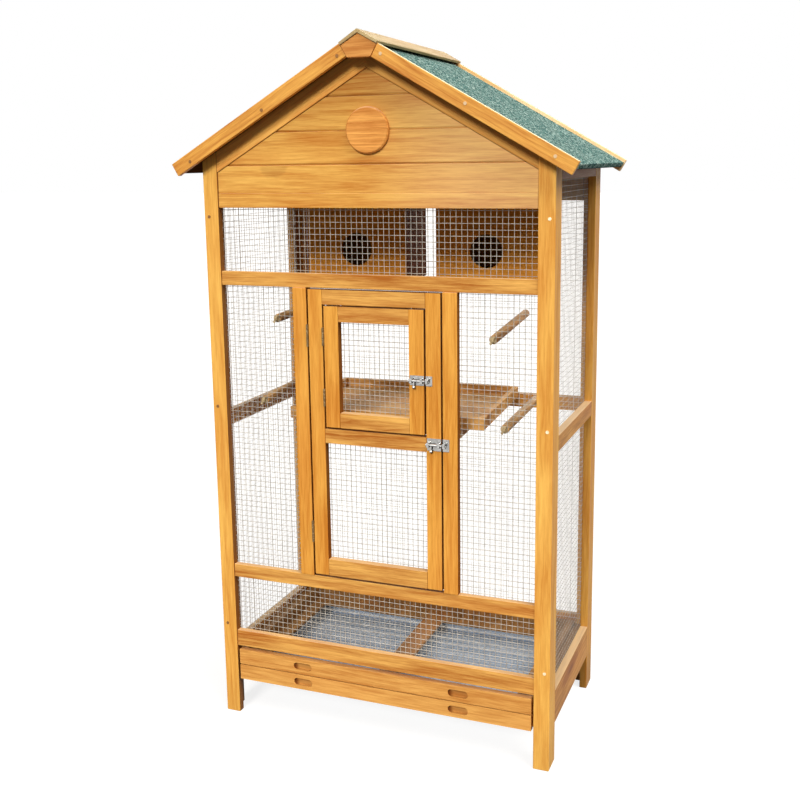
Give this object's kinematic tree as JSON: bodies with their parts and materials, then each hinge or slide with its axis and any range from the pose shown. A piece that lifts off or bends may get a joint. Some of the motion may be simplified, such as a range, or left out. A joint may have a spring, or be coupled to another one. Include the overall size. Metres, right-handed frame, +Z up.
{
  "type": "bird aviary",
  "caption": "Free-standing wooden bird cage with a felted gable roof, wire mesh walls, a door within a door, nest boxes, perches, a feeding platform and pull-out floors.",
  "frame": {"origin": "on the ground under the middle of the cage", "axes": "+Z up, the front with the doors and drawers faces -Y, +X to the right seen from the front"},
  "size_m": [0.92, 0.546, 1.5939],
  "materials": {
    "stained_fir": "clear honey stain, satin",
    "plywood": "brown-stained plywood",
    "red_pine": "reddish stain",
    "perch_wood": "bare dowel",
    "roof_felt": "mineral granules on bitumen",
    "galvanised_wire": "zinc coated",
    "galvanised_sheet": "zinc coated",
    "zinc_plate": "bright zinc",
    "bronzed_steel": "dark bronze"
  },
  "bodies": {
    "frame": {"back_mesh": "galvanised_wire", "back_rails": "stained_fir", "corner_posts": "stained_fir", "door_jambs": "stained_fir", "drawer_runners": "stained_fir", "frame_screws": "zinc_plate", "front_barge_boards": "stained_fir", "front_bottom_rail": "stained_fir", "front_gable_boards": "stained_fir", "front_left_mesh": "galvanised_wire", "front_lower_mesh": "galvanised_wire", "front_lower_rail": "stained_fir", "front_right_mesh": "galvanised_wire", "front_upper_mesh": "galvanised_wire", "front_upper_rail": "stained_fir", "gable_disc": "stained_fir", "gable_trims": "stained_fir", "left_nest_box": "plywood", "left_roof_board": "stained_fir", "left_roof_felt": "roof_felt", "left_side_mesh": "galvanised_wire", "main_bolt_keeper": "zinc_plate", "main_hinge_jamb_leaves": "bronzed_steel", "main_hinge_pins": "bronzed_steel", "perch_fixings": "zinc_plate", "perches": "perch_wood", "platform_floor": "red_pine", "platform_lip": "red_pine", "rear_barge_boards": "stained_fir", "rear_gable_boards": "stained_fir", "ridge_boards": "stained_fir", "ridge_end_caps": "stained_fir", "right_nest_box": "plywood", "right_roof_board": "stained_fir", "right_roof_felt": "roof_felt", "right_side_mesh": "galvanised_wire", "side_rails": "stained_fir", "side_stiles": "stained_fir"},
    "main_door": {"main_door_stiles": "stained_fir", "main_door_rails": "stained_fir", "main_door_mesh": "galvanised_wire", "main_hinge_door_leaves": "bronzed_steel", "main_bolt_housing": "zinc_plate", "small_hinge_outer_leaves": "bronzed_steel", "small_hinge_pins": "bronzed_steel", "small_bolt_keeper": "zinc_plate"},
    "small_door": {"small_door_stiles": "stained_fir", "small_door_rails": "stained_fir", "small_door_mesh": "galvanised_wire", "small_hinge_door_leaves": "bronzed_steel", "small_bolt_housing": "zinc_plate"},
    "main_bolt": {"main_bolt": "zinc_plate"},
    "small_bolt": {"small_bolt": "zinc_plate"},
    "upper_drawer": {"upper_drawer_front": "stained_fir", "upper_drawer_frame": "stained_fir", "upper_drawer_grate": "galvanised_wire"},
    "lower_drawer": {"lower_drawer_front": "stained_fir", "lower_drawer_frame": "stained_fir", "lower_drawer_tray": "galvanised_sheet"}
  },
  "joints": [
    {"name": "main_door_hinge", "type": "hinge", "parent": "frame", "child": "main_door", "pos_m": [-0.1535, -0.2317, 0.7204], "axis": [0, 0, -1], "range_deg": [0, 100]},
    {"name": "small_door_hinge", "type": "hinge", "parent": "main_door", "child": "small_door", "pos_m": [-0.1155, -0.2317, 0.8787], "axis": [0, 0, -1], "range_deg": [0, 80]},
    {"name": "main_bolt_slide", "type": "slide", "parent": "main_door", "child": "main_bolt", "axis": [1, 0, 0], "range_m": [0, 0.009]},
    {"name": "small_bolt_slide", "type": "slide", "parent": "small_door", "child": "small_bolt", "axis": [1, 0, 0], "range_m": [0, 0.009]},
    {"name": "upper_drawer_slide", "type": "slide", "parent": "frame", "child": "upper_drawer", "axis": [0, -1, 0], "range_m": [0, 0.33]},
    {"name": "lower_drawer_slide", "type": "slide", "parent": "frame", "child": "lower_drawer", "axis": [0, -1, 0], "range_m": [0, 0.33]}
  ]
}
